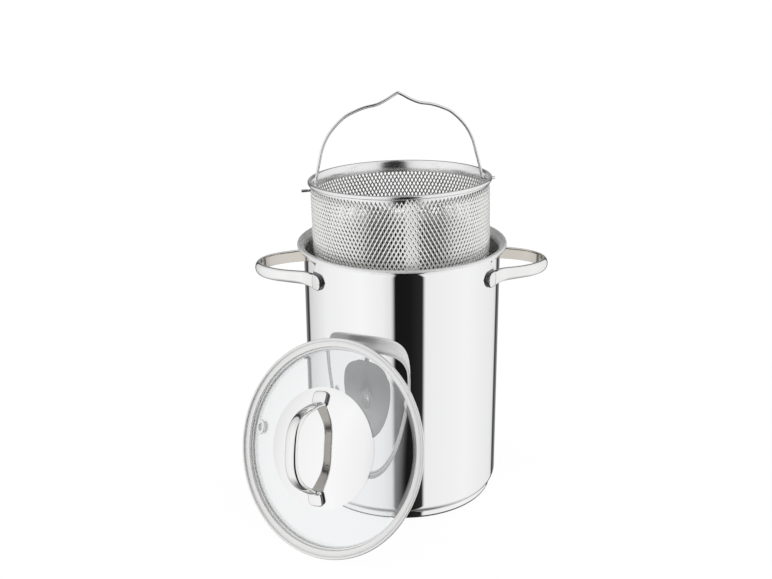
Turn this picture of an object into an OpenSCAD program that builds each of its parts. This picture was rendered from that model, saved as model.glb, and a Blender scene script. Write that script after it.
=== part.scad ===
// Pasta pot with a strainer insert. The pot stands on its base, the strainer is
// lifted part way out of it with its bail upright, and the glass lid leans on the wall.
// Origin: centre of the base's lower face. +Z up, side handles on the X axis.

/* [Pot] */
// Inner radius of the pot
pot_r = 80; // [70:0.5:100]
// Thickness of the pot's sheet
wall_t = 1; // [0.6:0.1:1.6]
// Height of the pot from the table to the top of its rim
pot_h = 218; // [180:1:260]
// Radius of the bend between bottom and wall, outside
corner_r = 8.5; // [7:0.5:12]
// Radius of the pouring flare, inside
flare_r = 9.5; // [7:0.5:12]
// Radius of the roll that ends the flare
roll_r = 2.1; // [1.6:0.1:3]

/* [Base] */
// How far the base cap's side stands inside the pot's outer wall
base_step = 4; // [3:0.1:6]
// Thickness of the base cap's sheet
cap_t = 0.8; // [0.5:0.1:1.2]
// Height of the pot's underside above the table
floor_z = 4.4; // [3:0.1:5]

/* [Side handles] */
// Distance of the handles' middle plane below the top of the pot's rim
handle_drop = 22; // [18:0.5:60]
// Reach of the handles from the pot's wall
handle_reach = 40.8; // [30:0.5:55]
// Half the width of the finger loop, inside
handle_half = 29; // [24:0.5:36]
// Height of the strap
strap_h = 10.4; // [7:0.1:12]
// Thickness of the strap at its crown
strap_t = 4.5; // [3.5:0.1:6]
// Height of the welded pad at each end
pad_h = 13; // [11:0.1:18]
// Thickness of the welded pad
pad_t = 3.2; // [2.4:0.1:4]
// Distance from the handle's middle to the middle of each pad
pad_at = 41.4; // [38:0.1:50]

/* [Strainer] */
// Room between the mesh wall and the pot's inner wall
mesh_room = 7.1; // [5.5:0.1:10]
// Thickness of the mesh sheet
mesh_t = 0.8; // [0.6:0.1:1.4]
// Height of the strainer, from its floor to the top of its rim
strainer_h = 176; // [140:1:182]
// How far the strainer is lifted above its seat
lift = 47.7; // [20:0.1:90]
// Radius of the rolled rim's section
rim_roll_r = 1.7; // [1.2:0.1:2]
// How far the middle of the roll stands outside the mesh
roll_out = 0.5; // [0.2:0.1:1]
// Height of the plain band inside the rim
rim_band_h = 10; // [10:0.5:20]
// Thickness of the rim band
rim_band_t = 0.8; // [0.6:0.1:1.2]
// Height of the foot band
foot_h = 7; // [5:0.5:12]
// Width of the wall's lap seam
seam_w = 7; // [5:0.5:12]
// Thickness of the lap seam's strip
seam_t = 0.6; // [0.4:0.1:1]
// Angle of the lap seam from the front
seam_angle = 3.5; // [-30:0.5:30]
// Openings round the wall in one row
mesh_columns = 40; // [24:2:48]
// Rows of openings in the wall
mesh_rows = 9; // [6:1:12]
// Width of the strands between openings
strand_w = 2.6; // [2:0.1:4]
// Width of the square openings in the floor
floor_hole = 6.4; // [4:0.1:8]
// Distance between the openings in the floor
floor_pitch = 11; // [10:0.5:16]

/* [Hanging strainer] */
// Sideways distance of the lifted strainer from the pot's middle
hang_x = -1.3; // [-2:0.1:2]
// Distance of the lifted strainer behind the pot's middle
hang_y = 3.4; // [0:0.1:4]
// How far the lifted strainer tips back, its front up
tip_back = 1.78; // [0:0.02:2]
// How far the lifted strainer tips sideways, its right side up
tip_side = 1.13; // [0:0.01:1.5]

/* [Bail] */
// Radius of the bail's wire
wire_r = 1.2; // [1:0.1:1.4]
// Radius of the holes that the bail turns in
ear_r = 1.5; // [1.45:0.05:2]
// How far each end of the bail reaches past the pot's inner wall, onto the flare
stub_reach = 0.7; // [0.4:0.1:1]
// Height of the bail above its pivot
bail_h = 73.2; // [60:0.2:90]
// How far the top of the bent wire stands to the right of the middle
bail_skew = 1.9; // [0:0.1:4]
// Distance of the pivot below the top of the strainer's rim
pivot_drop = 6.3; // [5:0.1:8]
// Angle of the bail's pivot line from the X axis
bail_angle = 9.9; // [0:0.1:40]
// How far the bail leans back from the strainer's own axis
bail_lean = 6; // [0:0.5:20]

/* [Lid] */
// How far the lid's steel band reaches past the pot's inner wall
lid_reach = 5.4; // [4:0.1:6]
// Room between the lid's skirt and the pot's inner wall
skirt_room = 0.8; // [0.4:0.1:3]
// Depth of the skirt
skirt_h = 8; // [7.5:0.5:10]
// How far the band's lip over the glass reaches in from the skirt's outer face
lip_w = 2.2; // [1.8:0.1:3.4]
// How far the band's lip under the glass reaches in from the skirt's outer face
under_lip_w = 3.7; // [3:0.1:5]
// Thickness of the band's sheet
band_t = 0.8; // [0.6:0.1:1]
// Thickness of the glass
glass_t = 4; // [3:0.1:4.5]
// How far the edge of the glass lies below the band's flange
glass_drop = 2.35; // [1.8:0.05:2.8]
// Rise of the glass dome
glass_rise = 20.4; // [16:0.2:24]
// Radius of the domed plate under the lid handle
plate_r = 47; // [44:0.5:56]
// Height of the domed plate's middle above the glass
plate_lift = 2.8; // [2:0.1:4]
// Thickness of the plate's sheet
plate_t = 0.8; // [0.6:0.1:1.2]
// Height of the lid handle above its feet
knob_h = 37; // [28:0.5:46]
// Half the length of the finger loop of the lid handle
knob_half = 29; // [24:0.5:32]
// Thickness of the lid handle's strap at its crown
knob_t = 3.4; // [2.8:0.1:5]
// Angle of the lid handle on the lid
knob_angle = 10.7; // [-90:0.1:90]
// Distance of the steam vent from the edge of the glass that shows
vent_in = 10.5; // [9.5:0.1:14]
// Radius of the steam vent's hole
vent_hole_r = 2.8; // [2:0.1:3.2]
// Radius of the steam vent's flange
vent_flange_r = 6.1; // [5.6:0.1:7]
// Radius of the lid screw's shank
screw_r = 2.5; // [2:0.1:3]

/* [Leaning lid] */
// Direction that the leaning lid faces, from the front
lid_yaw = -35.7; // [-50:0.1:-20]
// Slope of the leaning lid back from upright
lid_slope = 21.4; // [12:0.1:35]
// Sideways shift of the leaning lid's middle, seen from its front
lid_side = 9.2; // [-20:0.1:20]

/* [Hidden] */
$fn = 96;
slip = 0.05;             // between faces that rest on each other
gap = 0.3;               // between pieces that move
pot_out = pot_r + wall_t;
flare_end = 135;         // where the flare becomes the roll, and where the roll ends
roll_end = -25;
roll_centre = [pot_r + flare_r + (flare_r - roll_r) * cos(flare_end), pot_h - roll_r];
flare_z = roll_centre[1] - (flare_r - roll_r) * sin(flare_end);
handle_z = pot_h - handle_drop;

// Height at which the bail's ends meet the flare, and the strainer's places
stub_r = pot_r + stub_reach;
mesh_r = pot_r - mesh_room;
rest_z = flare_z + sqrt(pow(flare_r, 2) - pow(flare_r - stub_reach, 2)) + wire_r + gap;
pivot_z = rest_z + lift;
rim_top = pivot_z + pivot_drop;
mesh_in = mesh_r - mesh_t;
band_out = mesh_in - slip;
band_in = band_out - rim_band_t;
floor_top = rim_top - strainer_h;
roll_z = rim_top - rim_roll_r;

// The lid's profile, with z = 0 at the underside of its flange
lid_r = pot_r + lid_reach;
skirt_r = pot_r - skirt_room;
glass_edge_r = skirt_r - band_t - slip;
lip_in = skirt_r - lip_w;
under_in = skirt_r - under_lip_w;
glass_top = -glass_drop;
glass_z = glass_top - glass_t;
dome_r = (pow(lip_in, 2) + pow(glass_rise, 2)) / (2 * glass_rise);
dome_z = glass_top + glass_rise - dome_r;
function dome(r) = dome_z + sqrt(pow(dome_r, 2) - pow(r, 2));
plate_edge_z = dome(plate_r) + slip;
plate_rise = dome(0) + plate_lift - plate_edge_z;
plate_R = (pow(plate_r, 2) + pow(plate_rise, 2)) / (2 * plate_rise);
plate_z = plate_edge_z + plate_rise - plate_R;
function plate(r) = plate_z + sqrt(pow(plate_R, 2) - pow(r, 2));
glass_under = dome(0) - glass_t;
function under(r) = dome_z + sqrt(pow(dome_r - glass_t, 2) - pow(r, 2));

// The leaning lid stands on its bead, with its skirt close to the pot's wall
bead_r = 1.2;
lid_z = bead_r + (lid_r - bead_r) * cos(lid_slope) - bead_r * sin(lid_slope);
lid_out = pot_out + gap + slip + skirt_h * cos(lid_slope)
    + sqrt(pow(skirt_r, 2) - pow(lid_side, 2)) * sin(lid_slope);

// Points of an arc round c, from angle a to b
function arc(c, r, a, b, n = 8) =
    [for (i = [0:n]) let (t = a + (b - a) * i / n) [c[0] + r * cos(t), c[1] + r * sin(t)]];

// Points of a smooth line through the given points, each with any number of values
function spline_at(p, i, t) =
    let (a = p[max(i - 1, 0)], b = p[i], c = p[i + 1], d = p[min(i + 2, len(p) - 1)])
    b + 0.5 * t * ((c - a) + t * ((2 * a - 5 * b + 4 * c - d) + t * (3 * (b - c) + d - a)));
function spline(p, n) = concat(
    [for (i = [0:len(p) - 2], k = [0:n - 1]) spline_at(p, i, k / n)], [p[len(p) - 1]]);
function unit(v) = v / norm(v);
function along(p, i) = unit(p[min(i + 1, len(p) - 1)] - p[max(i - 1, 0)]);

// A closed solid through rings of the same number of points
module loft(rings) {
    n = len(rings[0]);
    m = len(rings);
    polyhedron(
        points = [for (r = rings) each r],
        faces = concat(
            [[for (k = [n - 1:-1:0]) k]],
            [for (i = [0:m - 2], k = [0:n - 1]) [i * n + k, i * n + (k + 1) % n, (i + 1) * n + k]],
            [for (i = [0:m - 2], k = [0:n - 1])
                [(i + 1) * n + k, i * n + (k + 1) % n, (i + 1) * n + (k + 1) % n]],
            [[for (k = [0:n - 1]) (m - 1) * n + k]]),
        convexity = 8);
}

// The strap's section: flat inside, domed outside. Each point is [out, up]. A dome power
// of 1 makes a D, and a small one makes the flat top of a pad.
edge_share = 0.14;
function strap_section(h, t, power) = concat(
    [[0, -h / 2 + 0.04 * h]],
    [for (a = [-90:20:90])
        [t * (edge_share + (1 - edge_share) * pow(max(cos(a), 0), power)), h / 2 * sin(a)]],
    [[0, h / 2 - 0.04 * h]]);

// A strap along a flat line of points [x, y, height, thickness, dome power], its left side outwards
module strap(line) {
    flat = [for (p = line) [p[0], p[1]]];
    loft([for (i = [0:len(line) - 1]) let (d = along(flat, i))
        [for (s = strap_section(line[i][2], line[i][3], line[i][4]))
            [flat[i][0] - d[1] * s[0], flat[i][1] + d[0] * s[0], s[1]]]]);
}

function mirrored(half) = concat(half, [for (i = [len(half) - 2:-1:0])
    [half[i][0], -half[i][1], half[i][2], half[i][3], half[i][4]]]);

// Side handles

loop_x = pot_out - 9;
pad_angle = asin(pad_at / pot_out);
pad_half = (pad_h / 2 + 1.8) / pot_out * 180 / PI;
pad_power = 0.3;
neck_angle = asin((handle_half + 1.3) / pot_out);
function on_wall(a, h, t, off = slip) =
    [(pot_out + off) * cos(a), (pot_out + off) * sin(a), h, t, pad_power];
function on_loop(a) = [
    loop_x + (pot_out + handle_reach - strap_t - loop_x) * cos(a), handle_half * sin(a), strap_h, strap_t, 1];
side_half = concat(
    [for (k = [0:4]) let (s = 1 - cos(90 * k / 4), w = sin(90 * max(k, 0.35) / 4))
        on_wall(pad_angle + pad_half - 0.6 * pad_half * s, pad_h * w, pad_t)],
    [on_wall(pad_angle - 0.1 * pad_half, pad_h, pad_t, 2 * slip),
     on_wall(pad_angle - 0.4 * pad_half, pad_h * 0.92, pad_t + 0.4, gap)],
    [[pot_out * cos(neck_angle) + 4.2, handle_half + 1.9, strap_h + 0.8, strap_t, 0.8]],
    [for (a = [62:-15.5:0]) on_loop(a)]);
module side_handle() {
    color("silver") translate([0, 0, handle_z]) strap(spline(mirrored(side_half), 3));
}
module handle_right() side_handle();
module handle_left() mirror([1, 0, 0]) side_handle();

// Pot

module pot_body() {
    fc = [pot_r + flare_r, flare_z];
    outside = concat(
        [[0, floor_z]],
        arc([pot_out - corner_r, floor_z + corner_r], corner_r, -90, 0),
        arc(fc, flare_r - wall_t, 180, flare_end, 6),
        arc(roll_centre, roll_r - wall_t, flare_end, roll_end, 10));
    inside = concat(
        [[0, floor_z + wall_t]],
        arc([pot_out - corner_r, floor_z + corner_r], corner_r - wall_t, -90, 0),
        arc(fc, flare_r, 180, flare_end, 6),
        arc(roll_centre, roll_r, flare_end, roll_end, 10));
    color("gainsboro") rotate_extrude()
        polygon(concat(outside, [for (i = [len(inside) - 1:-1:0]) inside[i]]));
}

// The pot's underside at radius r
function underside(r) = r <= pot_out - corner_r ? floor_z
    : floor_z + corner_r - sqrt(pow(corner_r, 2) - pow(r - pot_out + corner_r, 2));

// The cap's side ends where its inner face meets the pot's bend
base_r = pot_out - base_step;
base_in = base_r - cap_t;
base_h = underside(base_in);

module base_core() {
    flat = pot_out - corner_r;
    color("lightgrey") rotate_extrude() polygon(concat(
        [[0, cap_t], [base_in, cap_t]],
        [for (k = [8:-1:0]) let (r = flat + (base_in - flat) * k / 8) [r, underside(r)]],
        [[0, floor_z]]));
}

module base_cap() {
    round_r = cap_t + 0.4;
    color("silver") rotate_extrude() polygon(concat(
        arc([base_r - round_r, round_r], round_r, -90, 0, 4),
        [[base_r, base_h], [base_in, base_h], [base_in, cap_t], [0, cap_t], [0, 0]]));
}

// Strainer

mesh_top = rim_top - 2 * rim_roll_r - slip;
wall_bottom = floor_top - 1;
open_bottom = floor_top + foot_h;
open_top = rim_top - rim_band_h;
row_h = (open_top - open_bottom) / mesh_rows;
cell_w = 2 * PI * mesh_r / mesh_columns;

// The strainer is drawn level round the Z axis and then hung as it is lifted
module hang() {
    translate([hang_x, hang_y, pivot_z]) rotate([-tip_back, -tip_side, 0]) translate([0, 0, -pivot_z])
        children();
}

// A diamond-shaped bar that cuts one opening in the wall
module diamond_cut(w, h) {
    translate([mesh_in - 2, 0, 0]) rotate([90, 0, 90]) linear_extrude(mesh_t + 4)
        polygon([[w / 2, 0], [0, h / 2], [-w / 2, 0], [0, -h / 2]]);
}

module ear_hole() {
    rotate([0, 0, bail_angle]) translate([0, 0, pivot_z]) rotate([0, 90, 0])
        cylinder(r = ear_r, h = 2 * mesh_r + 10, center = true);
}

module strainer_wall() {
    w = cell_w - 0.7 * strand_w;
    h = 0.86 * (2 * row_h - 2 * strand_w);
    color("lightgrey") hang() difference() {
        translate([0, 0, wall_bottom]) difference() {
            cylinder(r = mesh_r, h = mesh_top - wall_bottom);
            translate([0, 0, -1]) cylinder(r = mesh_in, h = mesh_top - wall_bottom + 2);
        }
        for (i = [1:mesh_rows - 1], k = [0:mesh_columns - 1])
            if (abs((k + (i % 2) / 2) * 360 / mesh_columns - 270 - seam_angle) > 360 / mesh_columns)
                rotate([0, 0, (k + (i % 2) / 2) * 360 / mesh_columns])
                    translate([0, 0, open_bottom + i * row_h]) diamond_cut(w, h);
        ear_hole();
    }
}

module strainer_seam() {
    half = seam_w / 2 / mesh_r * 180 / PI;
    color("silver") hang() rotate([0, 0, 270 + seam_angle - half]) translate([0, 0, open_bottom + slip])
        rotate_extrude(angle = 2 * half) translate([mesh_r + slip, 0])
            square([seam_t, open_top - open_bottom]);
}

module strainer_rim() {
    roll_at = mesh_r + roll_out;
    color("silver") hang() difference() {
        rotate_extrude() union() {
            polygon([[band_in, rim_top - rim_band_h], [band_out, rim_top - rim_band_h], [band_out, mesh_top + slip],
                [roll_at, mesh_top + slip], [roll_at, roll_z + rim_roll_r / 2], [band_in, roll_z]]);
            translate([roll_at, roll_z]) circle(r = rim_roll_r, $fn = 24);
        }
        ear_hole();
    }
}

module strainer_floor() {
    reach = mesh_in - slip;
    n = floor(reach / floor_pitch);
    color("lightgrey") hang() translate([0, 0, floor_top - 1]) difference() {
        cylinder(r = reach, h = 1);
        for (x = [-n:n], y = [-n:n])
            if (norm([x, y]) * floor_pitch + floor_hole < reach - 4)
                translate([x * floor_pitch, y * floor_pitch, -1]) rotate([0, 0, 45])
                    translate([-floor_hole / 2, -floor_hole / 2, 0]) cube([floor_hole, floor_hole, 3]);
    }
}

module strainer_foot() {
    out = mesh_r + slip;
    z = wall_bottom - 0.8;
    color("silver") hang() translate([0, 0, z]) rotate_extrude() polygon([
        [mesh_in - 7, 0], [out + 0.2, 0], [out + 0.8, 0.6], [out + 0.8, foot_h + 1.8], [out, foot_h + 1.8],
        [out, 0.8 - slip], [mesh_in - 7, 0.8 - slip]]);
}

// Bail: half of its line as [out, up] from the pivot, scaled to its height
bail_top = 73.6;
leg = band_in - wire_r - 0.6;
bail_half = [
    [stub_r, 0], [(stub_r + leg) / 2 + 1, 0], [leg + 2.3, 0], [leg + 0.5, 1], [leg, 3.4],
    [leg - 1.5, 10.6], [leg * 0.943, 20.8], [leg * 0.891, 34], [leg * 0.8, 45.3], [leg * 0.653, 55.6],
    [leg * 0.531, 60.1], [leg * 0.396, 63.3], [leg * 0.258, 65.1], [leg * 0.145, 68.4], [leg * 0.046, 72.3]
];
module bail() {
    k = bail_h / bail_top;
    half = [for (p = bail_half) [p[0], p[1] * k]];
    even = concat(half, [[0, bail_h]], [for (i = [len(half) - 1:-1:0]) [-half[i][0], half[i][1]]]);
    line = spline([for (p = even) [p[0] + bail_skew * pow(p[1] / bail_h, 2), p[1]]], 3);
    color("silver") hang() translate([0, 0, pivot_z]) rotate([0, 0, bail_angle]) rotate([-bail_lean, 0, 0])
        loft([for (i = [0:len(line) - 1]) let (d = along(line, i))
            [for (a = [0:30:330]) [line[i][0] - d[1] * wire_r * cos(a), wire_r * sin(a),
                line[i][1] + d[0] * wire_r * cos(a)]]]);
}

// Lid, in its own frame and then leaned on the pot

module lean() {
    rotate([0, 0, lid_yaw]) translate([lid_side, -lid_out, lid_z]) rotate([90 - lid_slope, 0, 0]) children();
}

vent_at = lip_in - vent_in;
vent_z = dome(vent_at);
vent_tilt = asin(vent_at / dome_r);
module at_vent() {
    translate([-vent_at, 0, vent_z]) rotate([0, -vent_tilt, 0]) children();
}

bush_r = screw_r + 2.6;
module lid_glass() {
    color("lightcyan", 0.4) lean() difference() {
        rotate_extrude() polygon(concat(
            [[0, glass_under]],
            [for (k = [1:8]) let (r = under_in * k / 8)
                [r, under(r) + (glass_z - under(under_in)) * pow(k / 8, 4)]],
            [[glass_edge_r, glass_z], [glass_edge_r, glass_top]],
            [for (k = [10:-1:0]) let (r = lip_in * k / 10) [r, dome(r)]]));
        translate([0, 0, glass_under - 5]) cylinder(r = bush_r + 1 + slip, h = glass_t + 15);
        at_vent() translate([0, 0, -10]) cylinder(r = vent_hole_r + 0.8 + slip, h = 20);
    }
}

module lid_band() {
    in = skirt_r - band_t;
    bend = 0.2;
    color("silver") lean() rotate_extrude() polygon(concat(
        [[in, -skirt_h], [skirt_r, -skirt_h], [skirt_r, 0]],
        arc([lid_r - bead_r, bead_r], bead_r, -90, 150, 8),
        [[lid_r - 3 * bead_r, band_t]],
        arc([skirt_r + bend, -bend], band_t + bend, 90, 180, 4),
        [[in, glass_top + band_t], [lip_in, glass_top + band_t], [lip_in, glass_top + slip],
         [in, glass_top + slip], [in, glass_z - slip], [under_in, glass_z - slip],
         [under_in, glass_z - band_t], [in, glass_z - band_t]]));
}

module lid_plate() {
    color("gainsboro") lean() rotate_extrude() polygon(concat(
        [for (k = [0:10]) let (r = plate_r * k / 10) [r, plate(r)]],
        [for (k = [10:-1:0]) let (r = (plate_r - plate_t) * k / 10)
            [r, max(plate(r) - plate_t, dome(r) + slip)]]));
}

foot_z = plate(1.17 * knob_half);
knob_top = foot_z + knob_h;

// The pads reach from the loop's foot, a share of 1, towards the plate's edge, a share of 0
knob_foot = 1.155 * knob_half;
function on_plate(share, h, t, off) =
    let (r = plate_r - share * (plate_r - knob_foot)) [plate(r) + off, r, h, t, pad_power];
knob_pads = [
    on_plate(0.285, pad_h * 0.62, pad_t * 0.8, 2 * slip),
    on_plate(0.335, pad_h * 0.84, pad_t * 0.9, 2 * slip),
    on_plate(0.5, pad_h, pad_t, 4 * slip),
    on_plate(1, pad_h * 0.96, pad_t, gap + slip)
];

// Half of the loop's inside, as shares of its half length and of its height
knob_loop = [
    [1.105, 0.13], [1.065, 0.26], [1, 0.42], [0.915, 0.595], [0.8, 0.75], [0.64, 0.878], [0.43, 0.965],
    [0.2, 0.995], [0, 1]
];
knob_w = 1.04 * strap_h;
knob_line = concat(knob_pads, [for (p = knob_loop)
    [foot_z + (knob_h - knob_t) * p[1], knob_half * p[0], knob_w, knob_t, 1]]);
module lid_handle() {
    color("silver") lean() rotate([0, 0, knob_angle]) rotate([0, -90, 0])
        strap(spline(mirrored(knob_line), 3));
}

boss_end = glass_under + 1.2;
module lid_boss() {
    color("silver") lean() difference() {
        translate([0, 0, boss_end]) cylinder(r = bush_r - slip, h = plate(bush_r) - plate_t - slip - boss_end);
        translate([0, 0, boss_end - 1]) cylinder(r = screw_r + slip, h = plate_rise + 1);
    }
}

gasket_out = bush_r + 6;
gasket_t = 1.2;
gasket_z = under(gasket_out) - slip - gasket_t;
module lid_gasket() {
    color("dimgrey") lean() difference() {
        union() {
            translate([0, 0, gasket_z]) cylinder(r = gasket_out, h = gasket_t);
            translate([0, 0, gasket_z]) cylinder(r = bush_r + 1, h = glass_t + 1);
        }
        translate([0, 0, gasket_z - 1]) cylinder(r = screw_r + slip, h = glass_t + 4);
        translate([0, 0, boss_end - slip]) cylinder(r = bush_r, h = glass_t + 4);
    }
}

module lid_washer() {
    color("silver") lean() translate([0, 0, gasket_z - 1 - slip]) difference() {
        cylinder(r = gasket_out - 0.6, h = 1);
        translate([0, 0, -1]) cylinder(r = screw_r + slip, h = 3);
    }
}

module lid_screw() {
    head_h = 2.6;
    top = gasket_z - 1 - 2 * slip;
    shank_end = plate(screw_r) - plate_t - gap;
    color("silver") lean() difference() {
        union() {
            translate([0, 0, top - head_h]) cylinder(r = 2 * screw_r - 0.3, h = head_h);
            translate([0, 0, top - 0.5]) cylinder(r = screw_r, h = shank_end - top + 0.5);
        }
        translate([-3.6, -0.5, top - head_h - 1]) cube([7.2, 1, 2.1]);
        translate([-0.5, -3.6, top - head_h - 1]) cube([1, 7.2, 2.1]);
    }
}

module vent_eyelet() {
    tube = vent_hole_r + 0.8;
    under = -glass_t - 1.1;
    color("silver") lean() at_vent() rotate_extrude() polygon(concat(
        [[vent_hole_r, under - 0.5], [tube + 0.8, under - 0.5], [tube + 0.8, under], [tube, under],
         [tube, 0.25], [vent_flange_r - 0.6, 0.25]],
        arc([vent_flange_r - 0.6, 0.85], 0.6, -90, 90, 4),
        [[vent_hole_r + 1.4, 1.65], [vent_hole_r + 0.4, 1.4], [vent_hole_r, 0.7]]));
}

pot_body();
base_core();
base_cap();
handle_left();
handle_right();
strainer_wall();
strainer_seam();
strainer_rim();
strainer_floor();
strainer_foot();
bail();
lid_glass();
lid_band();
lid_plate();
lid_handle();
lid_boss();
lid_gasket();
lid_washer();
lid_screw();
vent_eyelet();
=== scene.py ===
# %% [markdown]
# # A pasta pot with its strainer and lid
#
# The real thing is almost all polished steel: a tall pot, a strainer of expanded mesh
# lifted half out of it, and a glass lid leaning on the front. Polished steel has hardly
# a colour of its own. It shows the room, so the shapes have to be smooth and the room
# around them has to be built with as much care as the pot.
#
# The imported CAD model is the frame: each piece below is made where the CAD piece is and
# takes its place.

import math

import bmesh
import bpy
from mathutils import Matrix, Vector


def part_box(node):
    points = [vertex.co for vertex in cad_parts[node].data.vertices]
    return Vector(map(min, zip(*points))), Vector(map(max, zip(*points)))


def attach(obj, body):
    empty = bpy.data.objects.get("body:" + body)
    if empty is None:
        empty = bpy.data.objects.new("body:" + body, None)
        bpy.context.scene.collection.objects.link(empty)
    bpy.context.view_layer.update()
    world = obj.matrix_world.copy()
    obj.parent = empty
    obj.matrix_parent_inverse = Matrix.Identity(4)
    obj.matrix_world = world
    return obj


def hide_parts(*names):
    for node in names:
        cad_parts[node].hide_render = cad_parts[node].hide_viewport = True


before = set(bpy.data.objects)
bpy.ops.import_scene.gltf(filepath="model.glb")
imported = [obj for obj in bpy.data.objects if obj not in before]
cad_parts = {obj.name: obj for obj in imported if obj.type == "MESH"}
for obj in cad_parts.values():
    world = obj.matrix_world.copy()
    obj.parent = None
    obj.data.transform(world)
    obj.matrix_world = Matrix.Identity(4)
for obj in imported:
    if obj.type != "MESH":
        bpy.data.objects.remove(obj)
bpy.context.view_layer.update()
MM = 0.001
TURN = 2 * math.pi

# %% [markdown]
# ## Helpers: a finished piece, a lathe and a sweep
#
# Nearly every part of a pot is spun or bent from bar, and two helpers cover both. A
# lathe takes half of a cross-section and spins it. A sweep extrudes a cross-section
# from station to station along a line. Both work in millimetres, as a drawing does,
# and `finish_piece` brings the mesh to metres, writes the place into the mesh and leaves
# the object at the origin.

# %% Turn a bmesh into a piece that rides on a body
def finish_piece(name, bm, materials, body, nodes=(), place=None, crease=40):
    """Makes the object, in metres and at its place, and says which CAD nodes it stands for."""
    if place is not None:
        bmesh.ops.transform(bm, matrix=place, verts=bm.verts)
    bmesh.ops.scale(bm, vec=(MM, MM, MM), verts=bm.verts)
    for face in bm.faces:
        face.smooth = True
    mesh = bpy.data.meshes.new(name)
    bm.to_mesh(mesh)
    bm.free()
    for material in materials:
        mesh.materials.append(material)
    mesh.set_sharp_from_angle(angle=math.radians(crease))
    obj = bpy.data.objects.new(name, mesh)
    bpy.context.scene.collection.objects.link(obj)
    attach(obj, body)
    if nodes:
        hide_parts(*nodes)
    triangles = sum(len(p.vertices) - 2 for p in mesh.polygons)
    print(f"{name}: {triangles} triangles, stands for {', '.join(nodes) or 'nothing'}")
    return obj


def arc(centre, radius, start, end, steps=8):
    """Points of an arc from one angle to another, in degrees."""
    angles = [math.radians(start + (end - start) * i / steps) for i in range(steps + 1)]
    return [(centre[0] + radius * math.cos(a), centre[1] + radius * math.sin(a)) for a in angles]


def clean(bm, merge=0.01):
    """Joins points that lie closer than merge, in millimetres, and turns all faces outwards."""
    bmesh.ops.remove_doubles(bm, verts=bm.verts, dist=merge)
    bmesh.ops.recalc_face_normals(bm, faces=bm.faces)


# %% Spin a cross-section round the Z axis
def lathe(outline, steps=256):
    """outline: (radius, height) points, open where it begins and ends on the axis."""
    bm = bmesh.new()
    points = [bm.verts.new((x, 0, z)) for x, z in outline]
    on_axis = outline[0][0] == 0 and outline[-1][0] == 0
    pairs = list(zip(points, points[1:])) + ([] if on_axis else [(points[-1], points[0])])
    edges = [bm.edges.new(pair) for pair in pairs]
    bmesh.ops.spin(bm, geom=points + edges, cent=(0, 0, 0), axis=(0, 0, 1), angle=TURN,
                   steps=steps, use_merge=True, use_duplicate=False)
    clean(bm)
    return bm


# %% Extrude a cross-section along a line of stations
def sweep(section, stations, reshape=None, finish_of=None):
    """section: (across, up) points; stations: (matrix, width, height, dome power).

    finish_of: gives a face's material index from its section points and dome power.
    """
    bm = bmesh.new()
    verts = [bm.verts.new((0, x, z)) for x, z in section]
    ring = [bm.edges.new(pair) for pair in zip(verts, verts[1:] + verts[:1])]

    def settle(verts, back, station):
        matrix, width, height, power = station
        for vert in verts:
            local = back @ vert.co
            if reshape:
                reshape(local, power)
            vert.co = matrix @ Vector((0, local.y * width, local.z * height))
        return (matrix @ Matrix.Diagonal((1, width, height, 1))).inverted()

    back = settle(verts, Matrix(), stations[0])
    ends = bmesh.ops.contextual_create(bm, geom=ring)["faces"]
    for station in stations[1:]:
        made = bmesh.ops.extrude_edge_only(bm, edges=ring)["geom"]
        ring = [e for e in made if isinstance(e, bmesh.types.BMEdge)]
        if finish_of:
            for face in (f for f in made if isinstance(f, bmesh.types.BMFace)):
                face.material_index = finish_of([back @ v.co for v in face.verts], station[3])
        back = settle([v for v in made if isinstance(v, bmesh.types.BMVert)], back, station)
    ends += bmesh.ops.contextual_create(bm, geom=ring)["faces"]
    # With a finish, the end faces take material 2, the dark steel of painted shade.
    for face in ends:
        face.material_index = 2 if finish_of else 0
    clean(bm)
    return bm


# %% Smooth lines through a few points
def smooth_line(points, steps):
    """Catmull-Rom line through points of any number of values."""
    line = []
    for i in range(len(points) - 1):
        a, b, c, d = (points[min(max(k, 0), len(points) - 1)] for k in (i - 1, i, i + 1, i + 2))
        for k in range(steps):
            t = k / steps
            line.append([
                q + 0.5 * t * ((r - p) + t * ((2 * p - 5 * q + 4 * r - s) + t * (3 * (q - r) + s - p)))
                for p, q, r, s in zip(a, b, c, d)])
    line.append(list(points[-1]))
    return line


def mirrored(half, sign):
    """The half line and its mirror image, the middle point once."""
    return half + [[x * s for x, s in zip(p, sign)] for p in half[-2::-1]]


# %% [markdown]
# ## Camera
#
# The picture is taken from the front, a little left and about 19 degrees above the
# table. The lens and place were solved from the circles of the pot, and the camera is
# rolled by less than half a degree.

# %% Camera
VIEW_TURN, VIEW_RISE, VIEW_ROLL = math.radians(-1.6), math.radians(19.18), math.radians(-0.45)
CAMERA_AT, LENS, SENSOR = (-0.0371, -0.849, 0.4692), 49.9, 36
back = Vector((math.sin(VIEW_TURN) * math.cos(VIEW_RISE),
               -math.cos(VIEW_TURN) * math.cos(VIEW_RISE), math.sin(VIEW_RISE)))
right = Vector((math.cos(VIEW_TURN), math.sin(VIEW_TURN), 0))
up = back.cross(right)
rolled_right = right * math.cos(VIEW_ROLL) + up * math.sin(VIEW_ROLL)
rolled_up = up * math.cos(VIEW_ROLL) - right * math.sin(VIEW_ROLL)
camera_data = bpy.data.cameras.new("camera")
camera_data.lens = LENS
camera_data.sensor_width = SENSOR
camera = bpy.data.objects.new("camera", camera_data)
camera.matrix_world = Matrix.Translation(CAMERA_AT) @ Matrix(
    (rolled_right, rolled_up, back)).transposed().to_4x4()
bpy.context.scene.collection.objects.link(camera)
bpy.context.scene.camera = camera
print("camera at", [round(v, 3) for v in camera.location], "lens", camera_data.lens)

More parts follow.
